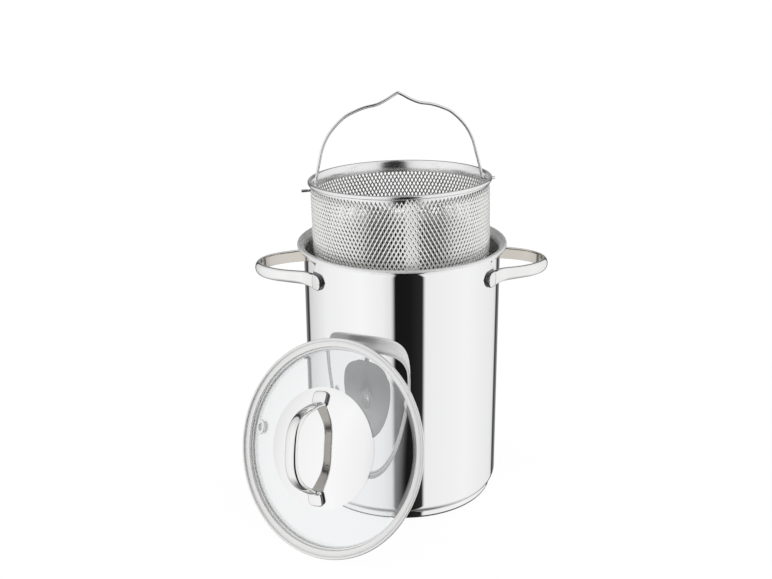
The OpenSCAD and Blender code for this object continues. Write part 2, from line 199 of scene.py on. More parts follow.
# %% [markdown]
# ## Studio
#
# The pot stands between two long softboxes with a dark gap in front, behind the camera,
# and narrow dark gaps at the far sides. Those gaps are what draws the black stripe on
# the wall and the thin dark lines at its edges. They are made in the world, by
# direction, so that every height of the wall sees the same room. The table is a large
# white sheet that lights up the background evenly, and the steel mirrors the softboxes
# and not the table.

# %% Softboxes and gaps of the room
def linear(level):
    """Light of a picture level from 0 to 255."""
    share = level / 255
    return share / 12.92 if share <= 0.04045 else ((share + 0.055) / 1.055) ** 2.4


ROOM_SHIFT = -1.6  # degrees that the whole room is turned by
ROOM = [  # direction in degrees from the front, level of the mirror's picture there
    (-180, 165), (-157, 120), (-151, 60), (-145, 60), (-141, 207), (-100, 238),
    (-50, 246), (-24, 238), (-13, 224), (-12, 185), (-10.5, 185), (-9.5, 22), (8, 24),
    (22.5, 40), (23.3, 80), (24.5, 186), (26, 236), (80, 243), (132, 232), (139, 226),
    (143, 213), (146, 70), (151, 60), (157, 120), (180, 165)]
HEIGHTS = [  # direction in degrees above the table, share of the light there
    (-90, 0.12), (-72, 0.2), (-58, 0.7), (-45, 1), (45, 1), (65, 0.9), (90, 0.75)]
MIRROR = 0.93  # share of the light that polished steel gives back

scene = bpy.context.scene
world = bpy.data.worlds.new("studio")
scene.world = world
world.use_nodes = True
nodes, links = world.node_tree.nodes, world.node_tree.links
nodes.clear()


def math_node(operation, *values):
    """A world node for one sum; each value is a number or another node's socket."""
    node = nodes.new("ShaderNodeMath")
    node.operation = operation
    for socket, value in zip(node.inputs, values):
        if isinstance(value, (int, float)):
            socket.default_value = value
        else:
            links.new(value, socket)
    return node.outputs[0]


where = nodes.new("ShaderNodeTexCoord")
parts = nodes.new("ShaderNodeSeparateXYZ")
links.new(where.outputs["Generated"], parts.inputs[0])
turn = math_node("ARCTAN2", parts.outputs[0], math_node("MULTIPLY", parts.outputs[1], -1))
share = math_node("DIVIDE", turn, TURN)
share = math_node("WRAP", math_node("ADD", share, 0.5 - ROOM_SHIFT / 360), 1, 0)
height = math_node("ADD", math_node("ARCSINE", parts.outputs[2]), math.pi / 2)
height = math_node("DIVIDE", height, math.pi)


def ramp_of(places, driver):
    """A grey ramp through (place from 0 to 1, value) stops."""
    ramp = nodes.new("ShaderNodeValToRGB")
    links.new(driver, ramp.inputs[0])
    stops = ramp.color_ramp.elements
    for i, (place, value) in enumerate(places):
        stop = stops[0] if i == 0 else stops[-1] if i == len(places) - 1 else stops.new(place)
        stop.position = place
        stop.color = (value, value, value, 1)
    return ramp.outputs[0]


around = ramp_of([((angle + 180) / 360, linear(level) / MIRROR) for angle, level in ROOM], share)
upward = ramp_of([((angle + 90) / 180, value) for angle, value in HEIGHTS], height)
room = nodes.new("ShaderNodeBackground")
links.new(around, room.inputs[0])
links.new(upward, room.inputs[1])
open_white = nodes.new("ShaderNodeBackground")
open_white.inputs[0].default_value = (1, 1, 1, 1)
seen = nodes.new("ShaderNodeLightPath")
mixed = nodes.new("ShaderNodeMixShader")
links.new(seen.outputs["Is Camera Ray"], mixed.inputs[0])
links.new(room.outputs[0], mixed.inputs[1])
links.new(open_white.outputs[0], mixed.inputs[2])
out = nodes.new("ShaderNodeOutputWorld")
links.new(mixed.outputs[0], out.inputs[0])
print("room:", len(ROOM), "stops")

# %% Table sheet and picture transform
SHEET_HALF = 60  # metres, so that its edge is out of sight
scene.view_settings.view_transform = "Standard"
sheet_bm = bmesh.new()
bmesh.ops.create_grid(sheet_bm, x_segments=1, y_segments=1, size=SHEET_HALF)
sheet_mesh = bpy.data.meshes.new("table_sheet")
sheet_bm.to_mesh(sheet_mesh)
sheet_bm.free()
table_sheet = bpy.data.objects.new("table_sheet", sheet_mesh)
scene.collection.objects.link(table_sheet)
table_sheet.visible_glossy = False
sheet_paper = bpy.data.materials.new("sheet_paper")
sheet_paper.use_nodes = True
paper = sheet_paper.node_tree.nodes["Principled BSDF"]
paper.inputs["Base Color"].default_value = (0.1, 0.1, 0.1, 1)
paper.inputs["Roughness"].default_value = 1
paper.inputs["Specular IOR Level"].default_value = 0
paper.inputs["Emission Color"].default_value = (1, 1, 1, 1)
paper.inputs["Emission Strength"].default_value = 0.94
sheet_mesh.materials.append(sheet_paper)

# %% [markdown]
# ## Steel and glass
#
# One function makes all the steels. They differ in colour, in roughness and in the
# pattern of their finish: polished steel keeps a trace of fine polishing, satin steel
# has lines that run round the pot, and the mesh is bright but slightly uneven. The
# pattern is a stretched noise that moves the roughness and a very small bump.

# %% Steel finishes
def steel(name, colour, roughness, spread=0.03, grain=(400, 400, 400), bump=0.0):
    """spread: how far the roughness varies; grain: spots of the pattern to the metre."""
    material = bpy.data.materials.new(name)
    material.use_nodes = True
    tree = material.node_tree
    shader = tree.nodes["Principled BSDF"]
    shader.inputs["Metallic"].default_value = 1
    shader.inputs["Base Color"].default_value = (*colour, 1)
    place = tree.nodes.new("ShaderNodeTexCoord")
    stretch = tree.nodes.new("ShaderNodeMapping")
    stretch.inputs["Scale"].default_value = grain
    tree.links.new(place.outputs["Object"], stretch.inputs["Vector"])
    noise = tree.nodes.new("ShaderNodeTexNoise")
    noise.inputs["Detail"].default_value = 3
    noise.inputs["Scale"].default_value = 1
    tree.links.new(stretch.outputs[0], noise.inputs["Vector"])
    rough = tree.nodes.new("ShaderNodeMapRange")
    rough.inputs["To Min"].default_value = max(0.0, roughness - spread)
    rough.inputs["To Max"].default_value = roughness + spread
    tree.links.new(noise.outputs[0], rough.inputs["Value"])
    tree.links.new(rough.outputs[0], shader.inputs["Roughness"])
    if bump:
        relief = tree.nodes.new("ShaderNodeBump")
        relief.inputs["Strength"].default_value = bump
        relief.inputs["Distance"].default_value = 0.0002
        tree.links.new(noise.outputs[0], relief.inputs["Height"])
        tree.links.new(relief.outputs[0], shader.inputs["Normal"])
    return material


polished = steel("polished_steel", (0.93, 0.93, 0.935), 0.025, 0.015, (60, 60, 900))
satin = steel("satin_steel", (0.86, 0.86, 0.86), 0.30, 0.06, (30, 30, 2500), 0.05)
flare_steel = steel("flare_steel", (0.90, 0.90, 0.90), 0.50, 0.06, (30, 30, 2500), 0.05)
# Satin steel for the pot's inside, its colour darkened as painted shade in the hollow of the pot.
inner_satin_painted_shade = steel("inner_satin_painted_shade_steel", (0.55, 0.55, 0.55), 0.38, 0.06, (30, 30, 2500), 0.05)
bar_steel = steel("bar_steel", (0.90, 0.90, 0.895), 0.05, 0.02, (500, 500, 500))
wire_steel = steel("wire_steel", (0.88, 0.88, 0.88), 0.12, 0.03, (500, 500, 500))
mesh_steel = steel("mesh_steel", (0.93, 0.93, 0.92), 0.34, 0.06, (900, 900, 900))
rim_steel = steel("rim_steel", (0.89, 0.89, 0.89), 0.20, 0.04, (60, 60, 1500))
# The flat inside of the side handles is darker and warmer than their outside: painted shade and painted
# reflection.
strap_inside_painted_shade = steel("strap_inside_painted_shade_steel", (0.70, 0.66, 0.60), 0.12, 0.04, (60, 60, 900))
# Near-black steel for the base's foot, a painted shade line along the table.
foot_painted_shade = steel("base_foot_painted_shade", (0.10, 0.10, 0.105), 0.35, 0.05, (300, 300, 300))
# The flat inside of the lid's bow is dark brownish grey: painted shade and painted reflection.
bow_inside_painted_shade = steel("bow_inside_painted_shade_steel", (0.43, 0.415, 0.39), 0.16, 0.04, (60, 60, 900))
# Dark steel for pad edges, strap ends and the plate's rim: painted shade.
edge_painted_shade = steel("edge_painted_shade_steel", (0.20, 0.20, 0.21), 0.30, 0.05, (300, 300, 300))
ring_steel = steel("ring_steel", (0.90, 0.90, 0.895), 0.50, 0.05, (60, 60, 1500))
# Extra-light steel: painted light in the glass's slot and a painted highlight on the vent eyelet.
crimp_painted_light_steel = steel("crimp_painted_light_steel", (0.96, 0.96, 0.96), 0.45, 0.05, (300, 300, 300))
# A darker copy of the plate's steel for its underside: painted shade.
underside_painted_shade = steel("plate_underside_painted_shade", (0.64, 0.65, 0.66), 0.40, 0.05, (300, 300, 300))
plate_steel = steel("plate_steel", (0.95, 0.95, 0.95), 0.06, 0.02, (700, 700, 60))
aluminium = steel("aluminium_core", (0.72, 0.72, 0.73), 0.45, 0.08, (900, 900, 900))


def clear_glass():
    material = bpy.data.materials.new("lid_glass_clear")
    material.use_nodes = True
    shader = material.node_tree.nodes["Principled BSDF"]
    shader.inputs["Base Color"].default_value = (0.885, 0.905, 0.912, 1)
    shader.inputs["Roughness"].default_value = 0.0
    shader.inputs["IOR"].default_value = 1.5
    shader.inputs["Transmission Weight"].default_value = 1
    shader.inputs["Coat Weight"].default_value = 1
    shader.inputs["Coat Roughness"].default_value = 0
    shader.inputs["Coat IOR"].default_value = 2.0
    return material


glass = clear_glass()


def silicone_grey():
    material = bpy.data.materials.new("silicone_grey")
    material.use_nodes = True
    tree = material.node_tree
    shader = tree.nodes["Principled BSDF"]
    shader.inputs["Base Color"].default_value = (0.5, 0.5, 0.5, 1)
    noise = tree.nodes.new("ShaderNodeTexNoise")
    noise.inputs["Scale"].default_value = 800
    rough = tree.nodes.new("ShaderNodeMapRange")
    rough.inputs["To Min"].default_value = 0.5
    rough.inputs["To Max"].default_value = 0.7
    tree.links.new(noise.outputs[0], rough.inputs["Value"])
    tree.links.new(rough.outputs[0], shader.inputs["Roughness"])
    return material


silicone = silicone_grey()
print("materials:", len(bpy.data.materials))

# %% [markdown]
# ## Pot
#
# The pot is drawn from one disc of steel: a flat bottom, a tight bend, a straight wall,
# and at the top a flare that ends in a small roll so that it pours cleanly. A lathe is
# the natural tool. Short holding steps next to each bend keep the long wall truly
# straight, or its reflections would bend along its whole height.

# %% Pot wall, bottom and flare
POT_R, WALL, POT_H = 80, 1, 218
FLOOR_Z, CORNER_R, FLARE_R, ROLL_R = 4.4, 8.5, 9.5, 2.1
FLARE_END, ROLL_END = 135, -25
FLAT_RING = 40  # radius of a ring of edges in the flat bottoms
POT_OUT = POT_R + WALL
flare_cos, flare_sin = math.cos(math.radians(FLARE_END)), math.sin(math.radians(FLARE_END))
roll_centre = (POT_R + FLARE_R + (FLARE_R - ROLL_R) * flare_cos, POT_H - ROLL_R)
flare_centre = (POT_R + FLARE_R, roll_centre[1] - (FLARE_R - ROLL_R) * flare_sin)
bend_centre = (POT_OUT - CORNER_R, FLOOR_Z + CORNER_R)


def pot_side(shift):
    """The sheet's outer face, or its inner face with shift = WALL, from the axis up."""
    x = POT_OUT - shift
    low, high = bend_centre[1], flare_centre[1]
    levels = (low + 0.5, low + 2, low + 40, low + 80, low + 120, high - 2, high - 0.5)
    wall = [(x, z) for z in levels]
    return ([(0, FLOOR_Z + shift), (FLAT_RING, FLOOR_Z + shift), (bend_centre[0] - 1, FLOOR_Z + shift)]
            + arc(bend_centre, CORNER_R - shift, -90, 0, 16) + wall
            + arc(flare_centre, FLARE_R - WALL + shift, 180, FLARE_END, 12)
            + arc(roll_centre, ROLL_R - WALL + shift, FLARE_END, ROLL_END, 16)[1:])


outside, inside = pot_side(0), pot_side(WALL)
bm = lathe(outside + inside[::-1])
for face in bm.faces:
    centre = face.calc_center_median()
    reach = math.hypot(centre.x, centre.y)
    inward = face.normal.x * centre.x + face.normal.y * centre.y
    if centre.z > flare_centre[1]:
        face.material_index = 1 if face.normal.z > 0.05 or inward < 0 else 0
    # Inner faces and the inside bottom take the darkened satin steel, painted shade inside the pot.
    elif inward < -0.2 * reach or (reach < bend_centre[0] and face.normal.z > 0.5):
        face.material_index = 2
finish_piece("pot_shell", bm, [polished, flare_steel, inner_satin_painted_shade], "pot",
             ["pot_body"])

# %% [markdown]
# The base is a steel cap pressed round an aluminium disc. From outside only the cap
# shows, as a low band under the bend of the wall with a fine groove above it. Its rounded
# foot is painted dark up to a line, as painted shade where it stands on the table.

# %% Base cap
BASE_STEP, CAP_T = 4, 0.8
base_r = POT_OUT - BASE_STEP
base_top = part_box("base_cap")[1].z / MM
base_round, FOOT_LINE = 1.2, 1.8
base_outline = (
    [(0, 0), (FLAT_RING, 0)] + arc((base_r - base_round, base_round), base_round, -90, 0, 8)
    + [(base_r, FOOT_LINE), (base_r, base_top - 0.35)] + arc((base_r - 0.3, base_top - 0.3), 0.3, 0, 90, 4)
    + [(base_r - CAP_T, base_top), (base_r - CAP_T, CAP_T), (FLAT_RING, CAP_T),
       (0, CAP_T)])
bm = lathe(base_outline)
# Faces of the rounded foot below the line take the near-black steel of painted shade.
for face in bm.faces:
    centre = face.calc_center_median()
    if centre.z < FOOT_LINE - 0.2 and math.hypot(centre.x, centre.y) > base_r - base_round:
        face.material_index = 1
finish_piece("base_shell", bm, [polished, foot_painted_shade], "pot", ["base_cap"])
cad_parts["base_core"].data.materials.clear()
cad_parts["base_core"].data.materials.append(aluminium)

# %% [markdown]
# ## Side handles
#
# Each handle is a steel strap, flat on the inside and domed on the outside, bent to a
# loop. Its ends are forged wider into pads that are welded flat to the wall. The sweep
# takes a D-shaped section whose width and height change from pad to loop.

# %% The strap's section and its stations
EDGE_SHARE = 0.14


def dome_share(up, power):
    """How thick the strap is at a height from -0.5 to 0.5, with 1 in the middle."""
    return EDGE_SHARE + (1 - EDGE_SHARE) * max(0, 1 - 4 * up ** 2) ** (power / 2)


def reshape_dome(local, power):
    if local.y > EDGE_SHARE * 0.99:
        local.y = dome_share(local.z, power)


def strap_finish(points, power):
    """0 for the domed side, 1 for the flat inside, painted darker as shade, 2 for a pad's edge, painted
    dark as shade.
    """
    if all(abs(p.y) < 0.01 for p in points):
        return 1
    return 2 if power < 0.4 and all(abs(p.z) > 0.44 for p in points) else 0


def strap_section():
    """A D with height 1 and thickness 1: flat inside, domed outside."""
    ups = [0.5 * math.sin(math.radians(-90 + 180 * i / 20)) for i in range(21)]
    flat = [(0, up) for up in (0.46, 0.25, 0, -0.25, -0.46)]
    return ([(EDGE_SHARE * 0.5, -0.495)] + [(dome_share(up, 1), up) for up in ups]
            + [(EDGE_SHARE * 0.5, 0.495), (0.02, 0.48)] + flat + [(0.02, -0.48)])


def strap_stations(line):
    """line: (x, y, height, thickness, dome power), the strap's inner face, its left side outwards."""
    stations = []
    for i, (x, y, height, thick, power) in enumerate(line):
        a, b = line[max(i - 1, 0)], line[min(i + 1, len(line) - 1)]
        along = Vector((b[0] - a[0], b[1] - a[1], 0)).normalized()
        across = Vector((-along.y, along.x, 0))
        matrix = Matrix((along, across, Vector((0, 0, 1)))).transposed().to_4x4()
        matrix.translation = (x, y, 0)
        stations.append((matrix, thick, height, power))
    return stations


# %% Bend the side handles
HANDLE_Z, REACH, LOOP_HALF, LOOP_TURN, STRAP_H, STRAP_T = POT_H - 22, 40.8, 29, 62, 10.4, 4.5
PAD_H, PAD_T, PAD_POWER, PAD_SIDE = 13, 3.2, 0.3, 41.4
SLIP, GAP = 0.05, 0.3  # between pieces that touch, and between pieces that move
loop_x = POT_OUT - 9
pad_angle = math.degrees(math.asin(PAD_SIDE / POT_OUT))
pad_half = math.degrees((PAD_H / 2 + 1.8) / POT_OUT)
neck_angle = math.asin((LOOP_HALF + 1.3) / POT_OUT)


def on_wall(angle, height, thick, off=SLIP):
    """A station of the strap that lies on the pot's wall."""
    a = math.radians(angle)
    return [(POT_OUT + off) * math.cos(a), (POT_OUT + off) * math.sin(a), height, thick, PAD_POWER]


pad_line = []
for k in range(5):
    fall = 1 - math.cos(math.radians(90 * k / 4))
    wide = math.sin(math.radians(90 * max(k, 0.35) / 4))
    pad_line.append(on_wall(pad_angle + pad_half - 0.6 * pad_half * fall, PAD_H * wide, PAD_T))
pad_line += [on_wall(pad_angle - 0.1 * pad_half, PAD_H, PAD_T, 2 * SLIP),
             on_wall(pad_angle - 0.4 * pad_half, PAD_H * 0.92, PAD_T + 0.4, GAP),
             [POT_OUT * math.cos(neck_angle) + 4.2, LOOP_HALF + 1.9, STRAP_H + 0.8, STRAP_T, 0.8]]
for k in range(5):
    a = math.radians(LOOP_TURN * (4 - k) / 4)
    pad_line.append([loop_x + (POT_OUT + REACH - STRAP_T - loop_x) * math.cos(a),
                     LOOP_HALF * math.sin(a), STRAP_H, STRAP_T, 1])
handle_line = smooth_line(mirrored(pad_line, (1, -1, 1, 1, 1)), 8)
for side, node, name in ((1, "handle_right", "loop_right"), (-1, "handle_left", "loop_left")):
    bm = sweep(strap_section(), strap_stations(handle_line), reshape_dome, strap_finish)
    bmesh.ops.scale(bm, vec=(side, 1, 1), verts=bm.verts)
    bmesh.ops.recalc_face_normals(bm, faces=bm.faces)
    finish_piece(name, bm, [bar_steel, strap_inside_painted_shade, edge_painted_shade], "pot", [node],
                 place=Matrix.Translation((0, 0, HANDLE_Z)))

# %% [markdown]
# ## Strainer
#
# The basket is expanded metal: a sheet is slit and pulled open, so every hole is a
# diamond and every strand is slightly twisted. One column of diamonds is enough. Each
# diamond gets an inset ring, its middle is deleted, the column is bent to the basket's
# radius, and a spin copies it all the way round before it gets its thickness.

# %% How the lifted strainer hangs
WIRE_R, STUB_REACH, LIFT, PIVOT_DROP = 1.2, 0.7, 47.7, 6.3
HANG_X, HANG_Y, TIP_BACK, TIP_SIDE = -1.3, 3.4, math.radians(1.78), math.radians(1.13)
seat_rise = math.sqrt(FLARE_R ** 2 - (FLARE_R - STUB_REACH) ** 2)
PIVOT_Z = flare_centre[1] + seat_rise + WIRE_R + GAP + LIFT
RIM_TOP, BASKET_DEPTH = PIVOT_Z + PIVOT_DROP, 176
FLOOR_TOP = RIM_TOP - BASKET_DEPTH
hang = (Matrix.Translation((HANG_X, HANG_Y, PIVOT_Z)) @ Matrix.Rotation(-TIP_SIDE, 4, "Y")
        @ Matrix.Rotation(-TIP_BACK, 4, "X") @ Matrix.Translation((0, 0, -PIVOT_Z)))
print("pivot", round(PIVOT_Z, 2), "rim top", round(RIM_TOP, 2))

# %% One column of expanded mesh
MESH_R, MESH_T, RIM_ROLL, ROLL_OUT, BAND_H, BAND_SHEET, FOOT_H = 72.9, 0.8, 1.7, 0.5, 10, 0.8, 7
COLUMNS, CELL_H, STRAND, TWIST = 134, 6.25, 0.52, 0.5
mesh_mid = MESH_R - MESH_T / 2
cell_w = TURN * mesh_mid / COLUMNS
mesh_low, mesh_high = FLOOR_TOP - 1, RIM_TOP - 2 * RIM_ROLL


def diamond(bm, place):
    made = bmesh.ops.create_circle(bm, cap_ends=True, segments=4, radius=1)["verts"]
    bmesh.ops.transform(bm, matrix=place, verts=made)


def open_diamonds(bm, strand, twist, height):
    """Insets every diamond, twists its strands and takes the middle out."""
    outer = list(bm.faces)
    bmesh.ops.inset_individual(bm, faces=outer, thickness=strand, use_even_offset=True)
    for face in outer:
        middle = face.calc_center_median()
        for vert in face.verts:
            vert.co.y -= twist * (vert.co.z - middle.z) / (height / 2)
    bmesh.ops.delete(bm, geom=outer, context="FACES_ONLY")


def mesh_wall(columns, rows, z_start, radius, first=0.0):
    """Mesh round the basket, from the angle first on, over some columns and rows of cells."""
    bm = bmesh.new()
    shape = Matrix.Diagonal((cell_w / 2, 1, CELL_H / 2, 1))
    upright = Matrix.Rotation(math.pi / 2, 4, "X")
    for k in range(rows):
        for x, z in ((0, z_start + CELL_H * k), (cell_w / 2, z_start + CELL_H * (k + 0.5))):
            diamond(bm, Matrix.Translation((x, 0, z)) @ shape @ upright)
    open_diamonds(bm, STRAND, TWIST, CELL_H)
    for vert in bm.verts:
        a, r = vert.co.x / mesh_mid, radius - vert.co.y
        vert.co = (r * math.sin(a), -r * math.cos(a), vert.co.z)
    bmesh.ops.rotate(bm, verts=bm.verts, cent=(0, 0, 0), matrix=Matrix.Rotation(first, 3, "Z"))
    bmesh.ops.spin(bm, geom=bm.verts[:] + bm.edges[:] + bm.faces[:], cent=(0, 0, 0),
                   axis=(0, 0, 1), angle=TURN * (columns - 1) / COLUMNS, steps=columns - 1,
                   use_duplicate=True)
    clean(bm, 0.05)
    for face in bm.faces:
        middle = face.calc_center_median()
        if face.normal.x * middle.x + face.normal.y * middle.y < 0:
            face.normal_flip()
    bmesh.ops.solidify(bm, geom=bm.faces[:], thickness=MESH_T)
    bmesh.ops.recalc_face_normals(bm, faces=bm.faces)
    return bm


rows = round((mesh_high - mesh_low) / CELL_H) - 1
bm = mesh_wall(COLUMNS, rows, mesh_low + CELL_H / 2, MESH_R)
finish_piece("strainer_mesh", bm, [mesh_steel], "strainer", ["strainer_wall"],
             place=hang, crease=30)

# %% Where the mesh overlaps itself
seam_turn = math.radians(3.5)
bm = mesh_wall(3, rows, mesh_low + CELL_H * 0.8, MESH_R + 0.7, seam_turn - TURN / COLUMNS)
finish_piece("strainer_lap", bm, [mesh_steel], "strainer", ["strainer_seam"],
             place=hang, crease=30)

# %% Rolled rim with its inner band
band_out = MESH_R - MESH_T - SLIP
band_in = band_out - BAND_SHEET
roll_at = (MESH_R + ROLL_OUT, RIM_TOP - RIM_ROLL)
rim_outline = (
    [(band_in, RIM_TOP - BAND_H), (band_out, RIM_TOP - BAND_H), (band_out, RIM_TOP - 2 * RIM_ROLL)]
    + arc(roll_at, RIM_ROLL, -90, 150, 28) + [(band_in, RIM_TOP - RIM_ROLL)])
finish_piece("strainer_ring", lathe(rim_outline), [rim_steel], "strainer",
             ["strainer_rim"], place=hang)

# %% Floor of the basket and the band round its foot
foot_out, foot_z = MESH_R + SLIP, FLOOR_TOP - 1.8
foot_top, foot_lip, foot_t = foot_z + FOOT_H + 1.8, MESH_R - 7.9, 0.75
foot_outline = [
    (foot_lip, foot_z), (foot_out + 0.2, foot_z), (foot_out + 0.6, foot_z + 0.2),
    (foot_out + 0.8, foot_z + 0.6), (foot_out + 0.8, foot_top - 0.2), (foot_out + 0.6, foot_top),
    (foot_out, foot_top), (foot_out, foot_z + foot_t), (foot_lip, foot_z + foot_t)]
finish_piece("strainer_footband", lathe(foot_outline), [rim_steel], "strainer",
             ["strainer_foot"], place=hang)

FLOOR_CELL_W, FLOOR_CELL_H = 3.5, 6.4
bm = bmesh.new()
floor_r = MESH_R - 1
shape = Matrix.Diagonal((FLOOR_CELL_W / 2, FLOOR_CELL_H / 2, 1, 1))
for i in range(-24, 25):
    for k in range(-14, 15):
        for half in (0, 0.5):
            x, y = (i + half) * FLOOR_CELL_W, (k + half) * FLOOR_CELL_H
            if math.hypot(x, y) < floor_r - 3.4:
                diamond(bm, Matrix.Translation((x, y, FLOOR_TOP)) @ shape)
outer = list(bm.faces)
bmesh.ops.inset_individual(bm, faces=outer, thickness=STRAND, use_even_offset=True)
bmesh.ops.delete(bm, geom=outer, context="FACES_ONLY")
clean(bm, 0.05)
bmesh.ops.solidify(bm, geom=bm.faces[:], thickness=MESH_T)
bmesh.ops.recalc_face_normals(bm, faces=bm.faces)
finish_piece("strainer_base_mesh", bm, [mesh_steel], "strainer",
             ["strainer_floor"], place=hang, crease=30)

# %% [markdown]
# ## Bail
#
# The basket is lifted by one round wire with a small peak in its middle for a finger or
# a hook. Its ends are bent outwards through two holes in the rim and come to rest on the
# pot's flare when the basket is down.

# %% Bend the wire
BAIL_H, BAIL_SKEW, STUB_R = 73.2, 1.9, POT_R + STUB_REACH
BAIL_TURN, BAIL_LEAN = math.radians(9.9), math.radians(6)
leg = band_in - WIRE_R - 0.6
bail_half = [
    [STUB_R, 0], [(STUB_R + leg) / 2 + 1, 0], [leg + 2.3, 0], [leg + 0.5, 1], [leg, 3.4],
    [leg - 1.5, 10.6], [leg * 0.943, 20.8], [leg * 0.891, 34], [leg * 0.8, 45.3], [leg * 0.653, 55.6],
    [leg * 0.531, 60.1], [leg * 0.396, 63.3], [leg * 0.258, 65.1], [leg * 0.145, 68.4],
    [leg * 0.046, 72.3], [0, 73.6]]
bail_half = [[x, z * BAIL_H / bail_half[-1][1]] for x, z in bail_half]
bent = [[x + BAIL_SKEW * (z / BAIL_H) ** 2, z] for x, z in mirrored(bail_half, (-1, 1))]
bail_line = smooth_line(bent, 6)
stations = []
for i, (x, z) in enumerate(bail_line):
    a, b = bail_line[max(i - 1, 0)], bail_line[min(i + 1, len(bail_line) - 1)]
    along = Vector((b[0] - a[0], 0, b[1] - a[1])).normalized()
    across = Vector((-along.z, 0, along.x))
    matrix = Matrix((along, across, along.cross(across))).transposed().to_4x4()
    matrix.translation = (x, 0, z)
    stations.append((matrix, WIRE_R, WIRE_R, 1))
wire_section = [(math.cos(TURN * i / 20), math.sin(TURN * i / 20)) for i in range(20)]
bail_place = (hang @ Matrix.Translation((0, 0, PIVOT_Z)) @ Matrix.Rotation(BAIL_TURN, 4, "Z")
              @ Matrix.Rotation(-BAIL_LEAN, 4, "X"))
finish_piece("bail_wire", sweep(wire_section, stations), [wire_steel], "bail", ["bail"],
             place=bail_place)

# %% [markdown]
# ## Lid
#
# The lid is built lying flat round its own middle and then leaned against the pot, the
# same way as in the drawing. Glass comes first: a shallow dome of tempered glass with a
# hole for the screw. The pot's wall mirrors the lid's steel and none of its glass, so the
# dome is hidden from mirror rays.

# %% The lid's sizes and its leaning place
LID_R, SKIRT_R, SKIRT_H, LIP_W, UNDER_LIP_W, BAND_T = 85.4, 79.2, 8, 2.2, 3.7, 0.8
GLASS_T, GLASS_DROP, GLASS_RISE, BEAD_R = 4, 2.35, 20.4, 1.2
PLATE_R, PLATE_LIFT, PLATE_T = 47, 2.8, 0.8
LID_YAW, LID_SLOPE, LID_SIDE = math.radians(-35.7), math.radians(21.4), 9.2
lip_in, under_in = SKIRT_R - LIP_W, SKIRT_R - UNDER_LIP_W
glass_top = -GLASS_DROP
glass_z = glass_top - GLASS_T
dome_r = (lip_in ** 2 + GLASS_RISE ** 2) / (2 * GLASS_RISE)
dome_z = glass_top + GLASS_RISE - dome_r


def dome(r):
    """Height of the glass's upper face at a radius."""
    return dome_z + math.sqrt(dome_r ** 2 - r ** 2)


def under(r):
    """Height of the glass's lower face, before its edge is brought level."""
    return dome_z + math.sqrt((dome_r - GLASS_T) ** 2 - r ** 2)


plate_rise = dome(0) + PLATE_LIFT - dome(PLATE_R) - SLIP
plate_big = (PLATE_R ** 2 + plate_rise ** 2) / (2 * plate_rise)
plate_z = dome(PLATE_R) + SLIP + plate_rise - plate_big


def plate(r):
    """Height of the plate's upper face."""
    return plate_z + math.sqrt(plate_big ** 2 - r ** 2)


lid_z = BEAD_R + (LID_R - BEAD_R) * math.cos(LID_SLOPE) - BEAD_R * math.sin(LID_SLOPE)
lid_out = (POT_OUT + GAP + SLIP + SKIRT_H * math.cos(LID_SLOPE)
           + math.sqrt(SKIRT_R ** 2 - LID_SIDE ** 2) * math.sin(LID_SLOPE))
lean = (Matrix.Rotation(LID_YAW, 4, "Z") @ Matrix.Translation((LID_SIDE, -lid_out, lid_z))
        @ Matrix.Rotation(math.pi / 2 - LID_SLOPE, 4, "X"))
print("lid centre", [round(v, 2) for v in lean.translation])

# %% Glass dome
SCREW_R, VENT_IN, VENT_HOLE = 2.5, 10.5, 2.8
bush_r = SCREW_R + 2.6
hole_r = bush_r + 1 + SLIP
glass_edge = SKIRT_R - BAND_T - SLIP
radii = [hole_r + (lip_in - hole_r) * k / 24 for k in range(25)]
low_radii = [hole_r + (under_in - hole_r) * k / 24 for k in range(25)]


def glass_low(r):
    """Height of the glass's lower face, which meets the flat edge at under_in."""
    return under(r) + (glass_z - under(under_in)) * (r / under_in) ** 4


glass_outline = ([(r, glass_low(r)) for r in low_radii]
                 + [(glass_edge, glass_z), (glass_edge, glass_top)]
                 + [(r, dome(r)) for r in radii[::-1]])
glass_dome = finish_piece("glass_dome", lathe(glass_outline), [glass], "lid",
                          ["lid_glass"], place=lean)
glass_dome.visible_glossy = False

# %% [markdown]
# The band is one strip of steel crimped round the glass, which lies a little below the
# flange. It has a lip over the glass, a flange that lies on the pot's rim, a rolled bead
# at its edge and a skirt that drops into the pot. The faces that hold the glass are
# painted lighter, as painted light in the shade of the slot.

# %% Band round the glass
band_x = SKIRT_R - BAND_T
BEND = 0.2
band_outline = (
    [(band_x, -SKIRT_H), (SKIRT_R - 0.1, -SKIRT_H), (SKIRT_R, -SKIRT_H + 0.1)]
    + arc((SKIRT_R + BEND, -BEND), BEND, 180, 90, 4)
    + arc((LID_R - BEAD_R, BEAD_R), BEAD_R, -90, 150, 14) + [(LID_R - 3 * BEAD_R, BAND_T)]
    + arc((SKIRT_R + BEND, -BEND), BAND_T + BEND, 90, 180, 8)
    + [(band_x, glass_top + BAND_T), (lip_in + 0.4, glass_top + BAND_T)]
    + arc((lip_in + 0.4, glass_top + 0.42), 0.38, 90, 270, 6)
    + [(band_x, glass_top + SLIP), (band_x, glass_z - SLIP), (under_in, glass_z - SLIP),
       (under_in, glass_z - BAND_T), (band_x, glass_z - BAND_T)])
bm = lathe(band_outline)
# Faces inside the slot that holds the glass take the extra-light steel of painted light.
for face in bm.faces:
    centre = face.calc_center_median()
    if math.hypot(centre.x, centre.y) < band_x + 0.01 and glass_z - 0.1 < centre.z < glass_top + 0.1:
        face.material_index = 1
finish_piece("lid_ring", bm, [ring_steel, crimp_painted_light_steel], "lid", ["lid_band"],
             place=lean)

